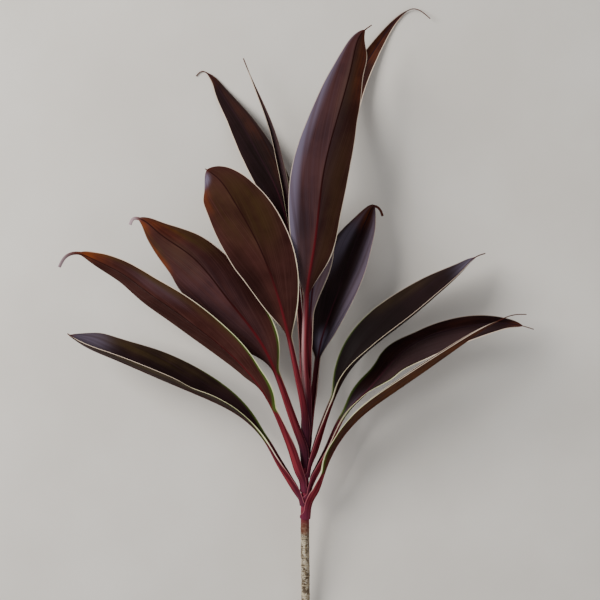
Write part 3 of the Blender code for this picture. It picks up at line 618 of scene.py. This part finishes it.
class Nodes:
    """Adds nodes to one tree and links them, a value at a time."""

    def __init__(self, tree):
        self.tree = tree

    def feed(self, socket, value):
        if isinstance(value, bpy.types.NodeSocket):
            self.tree.links.new(value, socket)
        else:
            socket.default_value = value

    def add(self, kind, inputs=None, **settings):
        made = self.tree.nodes.new(kind)
        for name, value in settings.items():
            setattr(made, name, value)
        for name, value in (inputs or {}).items():
            self.feed(made.inputs[name], value)
        return made

    def math(self, operation, *values):
        made = self.add("ShaderNodeMath", operation=operation)
        for socket, value in zip(made.inputs, values):
            self.feed(socket, value)
        return made.outputs[0]

    def plus(self, first, second):
        return self.math("ADD", first, second)

    def minus(self, first, second):
        return self.math("SUBTRACT", first, second)

    def times(self, first, second):
        return self.math("MULTIPLY", first, second)

    def absolute(self, value):
        return self.math("ABSOLUTE", value)

    def rise(self, value, start, end, low=0.0, high=1.0):
        """Ease from low, where the value is start, to high, where it is end."""
        made = self.add("ShaderNodeMapRange", interpolation_type="SMOOTHSTEP")
        for socket, given in zip(made.inputs, (value, start, end, low, high)):
            self.feed(socket, given)
        return made.outputs[0]

    def mix(self, share, first, second):
        """From the first colour to the second, by the sockets that the node keeps for colours."""
        made = self.add("ShaderNodeMix", data_type="RGBA")
        for number, value in ((0, share), (6, first), (7, second)):
            self.feed(made.inputs[number], value)
        return made.outputs[2]

    def here(self):
        return self.add("ShaderNodeTexCoord").outputs["Object"]

    def point(self, x, y, z):
        return self.add("ShaderNodeCombineXYZ", {"X": x, "Y": y, "Z": z}).outputs[0]

    def lengthwise(self, vector, scale):
        """The vector with its part along the cane scaled."""
        return self.add("ShaderNodeMapping", {"Vector": vector, "Scale": (1.0, scale, 1.0)}).outputs[0]

    def speckle(self, vector, scale, detail=2.0):
        inputs = {"Vector": vector, "Scale": scale, "Detail": detail}
        return self.add("ShaderNodeTexNoise", inputs).outputs[0]

    def mark(self, name):
        return self.add("ShaderNodeAttribute", attribute_name=name).outputs["Fac"]

    def relief(self, shader, height, strength, depth):
        """Give the shader a bump of the height, as deep as the depth in millimetres."""
        inputs = {"Strength": strength, "Distance": depth * MM, "Height": height}
        made = self.add("ShaderNodeBump", inputs)
        self.feed(shader.inputs["Normal"], made.outputs["Normal"])

    def use(self, group, inputs):
        return self.add("ShaderNodeGroup", inputs, node_tree=group).outputs


def new_group(name, inputs, outputs):
    """A shared effect: its node group, its nodes and the values that come into it."""
    group = bpy.data.node_groups.new(name, "ShaderNodeTree")
    for label, kind in inputs.items():
        group.interface.new_socket(label, in_out="INPUT", socket_type="NodeSocket" + kind)
    for label, kind in outputs.items():
        group.interface.new_socket(label, in_out="OUTPUT", socket_type="NodeSocket" + kind)
    nodes = Nodes(group)
    return group, nodes, nodes.add("NodeGroupInput").outputs


def vein_group():
    """Fine veins and broader pleats that leave the midrib at a slant and run out along the
    margin, as a streak from 0 to 1 and as a height."""
    group, nodes, given = new_group(
        "leaf_veins", {"Across": "Float", "Edge": "Float", "Run": "Float"},
        {"Streak": "Float", "Pleat": "Float", "Height": "Float"})
    aside = nodes.absolute(given["Across"])
    half = nodes.math("MAXIMUM", nodes.plus(aside, given["Edge"]), TIP_HALF_WIDTH)
    share = nodes.math("DIVIDE", aside, half)
    line = nodes.minus(nodes.times(share, VEIN_SPAN), nodes.times(given["Run"], VEIN_SLANT))
    which_half = nodes.times(nodes.math("SIGN", given["Across"]), HALVES_APART)
    spot = nodes.point(line, nodes.times(given["Run"], VEIN_STRETCH), which_half)
    streak = nodes.speckle(spot, scale=1 / VEIN_SPACING, detail=1.0)
    pleat = nodes.speckle(spot, scale=1 / PLEAT_SPACING, detail=1.0)
    height = nodes.plus(nodes.times(streak, VEIN_HEIGHT), pleat)
    nodes.add("NodeGroupOutput", {"Streak": streak, "Pleat": pleat, "Height": height})
    return group


def margin_group():
    """The leaf's edge: a thin pale line, broader at the blade's foot and redder on the sheath, which is
    partly the margin's own colour and partly painted rim light, and inside it a green band where the
    blade is young."""
    group, nodes, given = new_group(
        "leaf_margin", {"Blade": "Color", "Edge": "Float", "Green": "Float", "Rim": "Float",
                        "Run": "Float", "Along": "Float"}, {"Color": "Color"})
    along, edge, rim = given["Along"], given["Edge"], given["Rim"]
    on_blade = nodes.rise(along, -0.6, -0.15)
    green = nodes.times(given["Green"], nodes.rise(along, -0.1, 0.03))
    waver = nodes.speckle(nodes.point(given["Run"], 0.0, 0.0), scale=0.05)
    width = nodes.times(nodes.plus(waver, 0.35), nodes.rise(rim, 0.0, 1.0, low=0.5, high=1.15))
    at_foot = nodes.rise(nodes.absolute(nodes.minus(along, 0.02)), 0.2, 0.03)
    width = nodes.times(width, nodes.plus(nodes.times(at_foot, 0.5), 1.0))
    band = nodes.plus(nodes.times(width, 1.2), nodes.times(green, 3.2))
    inside = nodes.times(nodes.rise(edge, band, width), green)
    colour = nodes.mix(nodes.times(inside, 0.85), given["Blade"], LEAF_GREEN)
    pale = nodes.mix(on_blade, SHEATH_MARGIN, nodes.mix(green, MARGIN, YOUNG_MARGIN))
    outer = nodes.rise(edge, nodes.plus(width, 0.2), nodes.times(width, 0.65))
    outer = nodes.times(outer, nodes.times(rim, nodes.rise(on_blade, 0.0, 1.0, low=0.6)))
    nodes.add("NodeGroupOutput", {"Color": nodes.mix(outer, colour, pale)})
    return group


def patch_group():
    """Soft patches of the tints, broken up along the pleats: painted shade, olive and rust that are
    partly the leaf's own colour and partly painted light shining through it, a painted sheen, and a
    pale pink that is a painted highlight and near the dry tip the tip's own colour.
    """
    inputs = {"Blade": "Color", "Pleat": "Float", "Cloud": "Float"}
    inputs.update({tint.title(): "Float" for tint in TINTS})
    group, nodes, given = new_group("leaf_patches", inputs, {"Color": "Color"})
    ragged = nodes.plus(nodes.times(given["Cloud"], 1.2), nodes.times(given["Pleat"], 0.5))
    colour = nodes.mix(given["Shade"], given["Blade"], SHADE)
    # Olive patches, partly the leaf's own colour and partly painted light shining through the blade.
    olive = nodes.times(given["Olive"], nodes.rise(ragged, 0.55, 1.0, low=0.25))
    colour = nodes.mix(olive, colour, OLIVE)
    # Rust-orange patches, partly the leaf's own colour and partly painted light shining through the
    # blade towards its tips.
    rust = nodes.times(given["Rust"], nodes.rise(ragged, 0.5, 1.1, low=0.45))
    rusty = nodes.mix(nodes.rise(ragged, 0.6, 1.05), DARK_RUST, BRIGHT_RUST)
    colour = nodes.mix(rust, colour, rusty)
    # Painted sheen: a bluish grey, streaked along the pleats, where the leaf would reflect the window
    # light.
    bloom = nodes.times(given["Bloom"], nodes.rise(given["Pleat"], 0.3, 0.6, low=0.6))
    colour = nodes.mix(bloom, colour, BLOOM)
    # A pale pink that is a painted highlight on lit stalks and margins, and near the dry tip the leaf's
    # own pale colour.
    nodes.add("NodeGroupOutput", {"Color": nodes.mix(given["Blush"], colour, BLUSH)})
    return group


def new_material(name, **values):
    """A material with one Principled shader, whose even values are set on its sockets."""
    material = bpy.data.materials.new(name)
    material.use_nodes = True
    shader = material.node_tree.nodes["Principled BSDF"]
    for socket, value in values.items():
        shader.inputs[socket.replace("_", " ")].default_value = value
    return material, Nodes(material.node_tree), shader


def with_midrib(nodes, look, blade, along, aside):
    """The blade's colour with a glow beside the midrib, and the midrib, which narrows and fades
    towards the tip."""
    rib = nodes.mix(nodes.rise(along, *look["rib_fades"]), look["rib"], look["rib_far"])
    beside = nodes.rise(aside, 6.0, 1.0, high=look["glow"])
    blade = nodes.mix(nodes.times(beside, nodes.rise(along, 0.4, 0.0)), blade, look["rib"])
    width = nodes.rise(along, 0.0, 0.6, low=look["rib_width"], high=0.9)
    return nodes.mix(nodes.rise(aside, width, nodes.times(width, 0.4)), blade, rib)


def stalk_colour(nodes, look, along, run, across, aside):
    """Sheath and stalk: fibres along them, painted shade towards their sides, a mauve foot that is a
    painted reflection, and the leaf's painted shade and its pale pink, here a painted highlight."""
    fibre = nodes.speckle(nodes.point(across, nodes.times(run, 0.02), 0.0), scale=0.6, detail=3.0)
    stalk = nodes.mix(nodes.rise(fibre, 0.35, 0.65), look["stalk"], look["stalk_light"])
    # Painted shade: darker towards the stalk's sides, where its round turns away from the light.
    stalk = nodes.mix(nodes.rise(aside, 2.5, 8.0, high=0.45), stalk, STALK_SIDE)
    # A mauve cast at the foot: a painted bluish reflection on the lower sheath.
    stalk = nodes.mix(nodes.rise(along, -0.6, -1.0, high=0.5), stalk, STALK_FOOT)
    stalk = nodes.mix(nodes.mark("shade"), stalk, STALK_SHADE)
    return nodes.mix(nodes.mark("blush"), stalk, BLUSH)


def leaf_material(groups, look, **values):
    """One face of the leaves: veined blade, patches, midrib, stalk, dry tip and pale margin."""
    material, nodes, shader = new_material(look["name"], **values)
    veins_of, patches_of, margin_of = groups
    along, run, across, edge = (nodes.mark(name) for name in ("along", "run", "across", "edge"))
    veins = nodes.use(veins_of, {"Across": across, "Edge": edge, "Run": run})
    cloud = nodes.speckle(nodes.here(), scale=24.0, detail=3.0)
    blade = nodes.mix(nodes.rise(cloud, 0.3, 0.7), look["dark"], look["light"])
    veined = nodes.rise(veins["Streak"], 0.45, 0.75, high=look["vein_share"])
    blade = nodes.mix(veined, blade, look["vein"])
    patches = {tint.title(): nodes.mark(tint) for tint in TINTS}
    patches.update(Blade=blade, Pleat=veins["Pleat"], Cloud=cloud)
    blade = nodes.use(patches_of, patches)["Color"]
    aside = nodes.absolute(across)
    blade = with_midrib(nodes, look, blade, along, aside)
    stalk = stalk_colour(nodes, look, along, run, across, aside)
    on_stalk = nodes.rise(along, 0.03, -0.05)
    blade = nodes.mix(on_stalk, blade, stalk)
    # The dry tip is pale where that mark covers it; there it is the tip's own colour, not a highlight.
    dry = nodes.mix(nodes.mark("blush"), DRY_TIP, PALE_DRY_TIP)
    blade = nodes.mix(nodes.mark("dry"), blade, dry)
    colour = nodes.use(margin_of, {"Blade": blade, "Edge": edge, "Green": nodes.mark("green"),
                                   "Rim": nodes.mark("rim"), "Run": run, "Along": along})["Color"]
    nodes.feed(shader.inputs["Base Color"], colour)
    rough = nodes.rise(veins["Pleat"], 0.3, 0.7, *look["roughness"])
    smoother = nodes.rise(along, 0.02, -0.05, high=0.15)
    nodes.feed(shader.inputs["Roughness"], nodes.minus(rough, smoother))
    height = nodes.times(veins["Height"], nodes.rise(along, -0.1, 0.15, low=0.25))
    nodes.relief(shader, height, strength=look["relief"], depth=0.8)
    return material


UPPER_FACE = dict(
    name="leaf_upper_face", dark=paint("#1d1110"), light=paint("#2a191a"),
    vein=paint("#33222a"), vein_share=0.5,
    rib=paint("#4a1f2a"), rib_far=paint("#2a171d"), rib_width=1.6, rib_fades=(0.1, 0.5), glow=0.15,
    stalk=paint("#45151f"), stalk_light=paint("#68262f"), roughness=(0.44, 0.58), relief=0.4)
UNDERSIDE = dict(
    name="leaf_underside", dark=paint("#371c19"), light=paint("#492925"),
    vein=paint("#5c3a36"), vein_share=0.4,
    rib=paint("#5c1a20"), rib_far=paint("#2a1311"), rib_width=2.0, rib_fades=(0.1, 0.45), glow=0.15,
    stalk=paint("#551620"), stalk_light=paint("#86323a"), roughness=(0.5, 0.62), relief=0.35)


def bark_material():
    """Grey-beige bark with brown patches, pale grain, dark spots and pale ring scars, browner on
    its right side with painted shade away from the light, red where it is young and crimson in the
    crown."""
    material, nodes, shader = new_material("cane_bark", Specular_IOR_Level=0.3)
    here = nodes.here()
    apart = nodes.add("ShaderNodeSeparateXYZ", {"Vector": here}).outputs
    up = nodes.math("DIVIDE", nodes.minus(apart["Y"], float(SET_DOWN[1]) * MM), MM)
    squat = nodes.lengthwise(here, 0.55)
    patch = nodes.speckle(squat, scale=140.0, detail=4.0)
    grain = nodes.speckle(nodes.lengthwise(here, 3.0), scale=420.0, detail=3.0)
    colour = nodes.mix(nodes.rise(patch, 0.43, 0.56), BARK_BROWN, BARK_BEIGE)
    colour = nodes.mix(nodes.rise(grain, 0.48, 0.66, high=0.85), colour, BARK_GRAIN)
    spots = nodes.speckle(squat, scale=230.0, detail=3.0)
    colour = nodes.mix(nodes.rise(spots, 0.53, 0.62, high=0.85), colour, BARK_SPOT)
    ring = nodes.math("PINGPONG", nodes.minus(up, FIRST_SCAR), SCAR_SPACING / 2)
    scar = nodes.rise(nodes.plus(ring, nodes.times(grain, 0.8)), 1.3, 0.5)
    colour = nodes.mix(nodes.times(scar, 0.6), colour, BARK_SCAR)
    # Painted shade: darker and browner on the cane's right side, away from the window light.
    right_side = nodes.rise(apart["X"], 6.0 * MM, 12.5 * MM, high=0.5)
    colour = nodes.mix(right_side, colour, BARK_SIDE)
    young = nodes.plus(up, nodes.times(patch, 14.0))
    colour = nodes.mix(nodes.rise(young, -25.0, -15.0, high=0.85), colour, YOUNG_BARK)
    colour = nodes.mix(nodes.rise(young, -11.0, -3.0), colour, RED_BARK)
    colour = nodes.mix(nodes.rise(up, -2.0, 6.0), colour, CROWN_BARK)
    nodes.feed(shader.inputs["Base Color"], colour)
    nodes.feed(shader.inputs["Roughness"], nodes.rise(patch, 0.3, 0.7, low=0.6, high=0.85))
    nodes.relief(shader, nodes.plus(patch, nodes.times(grain, 0.6)), strength=0.6, depth=0.6)
    return material


def cut_material():
    """The cut end: pale pith with specks of fibre, darker towards the bark."""
    material, nodes, shader = new_material("cane_cut_end", Roughness=0.8, Specular_IOR_Level=0.3)
    here = nodes.here()
    middle = place(cane_at(CANE_CUT))
    off = nodes.add("ShaderNodeVectorMath", {0: here, 1: middle}, operation="DISTANCE").outputs["Value"]
    specks = nodes.rise(nodes.speckle(here, scale=1800.0), 0.5, 0.7)
    colour = nodes.mix(specks, PITH, PITH_SPECK)
    colour = nodes.mix(nodes.rise(off, 2.6 * MM, 3.4 * MM), colour, CUT_WOOD)
    colour = nodes.mix(nodes.rise(off, 3.7 * MM, 4.2 * MM), colour, CUT_BARK)
    nodes.feed(shader.inputs["Base Color"], colour)
    return material


def show(name, mesh, materials, node):
    """Put a finished piece in the scene, in place of a node of the frame."""
    piece = bpy.data.objects.new(name, mesh)
    bpy.context.scene.collection.objects.link(piece)
    for material in materials:
        mesh.materials.append(material)
    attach(piece, "root")
    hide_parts(node)


def make_leaves():
    groups = vein_group(), patch_group(), margin_group()
    upper = leaf_material(groups, UPPER_FACE, Specular_IOR_Level=0.06)
    under = leaf_material(groups, UNDERSIDE, Specular_IOR_Level=0.02)
    for order, leaf in enumerate(LEAVES):
        mesh = leaf_piece(order, leaf)
        mesh.set_sharp_from_angle(angle=math.radians(LEAF_CREASE))
        show(leaf["name"] + "_fine", mesh, [upper, under], leaf["name"])


def make_cane():
    mesh = cane_piece()
    mesh.set_sharp_from_angle(angle=math.radians(CANE_CREASE))
    show("cane_with_bark", mesh, [bark_material(), cut_material()], "cane")


def floor_material():
    """Pale, warm plaster, very slightly uneven in tone and surface."""
    material, nodes, shader = new_material("floor_plaster", Roughness=0.9, Specular_IOR_Level=0.2)
    here = nodes.here()
    tone = nodes.rise(nodes.speckle(here, scale=5.0, detail=5.0), 0.3, 0.7)
    nodes.feed(shader.inputs["Base Color"], nodes.mix(tone, DARK_PLASTER, PALE_PLASTER))
    nodes.relief(shader, nodes.speckle(here, scale=60.0, detail=4.0), strength=0.15, depth=1.0)
    return material


def make_floor():
    bm = bmesh.new()
    bmesh.ops.create_grid(bm, x_segments=1, y_segments=1, size=FLOOR_REACH)
    mesh = bpy.data.meshes.new("floor")
    bm.to_mesh(mesh)
    bm.free()
    floor = bpy.data.objects.new("floor", mesh)
    floor.location.z = -FLOOR_DROP
    bpy.context.scene.collection.objects.link(floor)
    mesh.materials.append(floor_material())


def add_light(name, spot, size, power, colour):
    lamp = bpy.data.lights.new(name, "AREA")
    lamp.shape, lamp.size = "SQUARE", size
    lamp.energy, lamp.color = power, colour
    light = bpy.data.objects.new(name, lamp)
    light.location = spot
    light.rotation_euler = (LIT_POINT - Vector(spot)).to_track_quat("-Z", "Y").to_euler()
    bpy.context.scene.collection.objects.link(light)


def make_light():
    for light in LIGHTS:
        add_light(**light)
    world = bpy.data.worlds.new("studio")
    world.use_nodes = True
    sky = world.node_tree.nodes["Background"].inputs
    sky["Color"].default_value = SKY_COLOUR
    sky["Strength"].default_value = SKY_STRENGTH
    bpy.context.scene.world = world


def make_camera():
    lens = bpy.data.cameras.new("camera")
    lens.lens, lens.sensor_width = LENS, SENSOR
    lens.clip_end = CAMERA_REACH
    camera = bpy.data.objects.new("camera", lens)
    camera.location = place(CAMERA_SPOT)
    bpy.context.scene.collection.objects.link(camera)
    bpy.context.scene.camera = camera


make_leaves()
make_cane()
make_floor()
make_light()
make_camera()
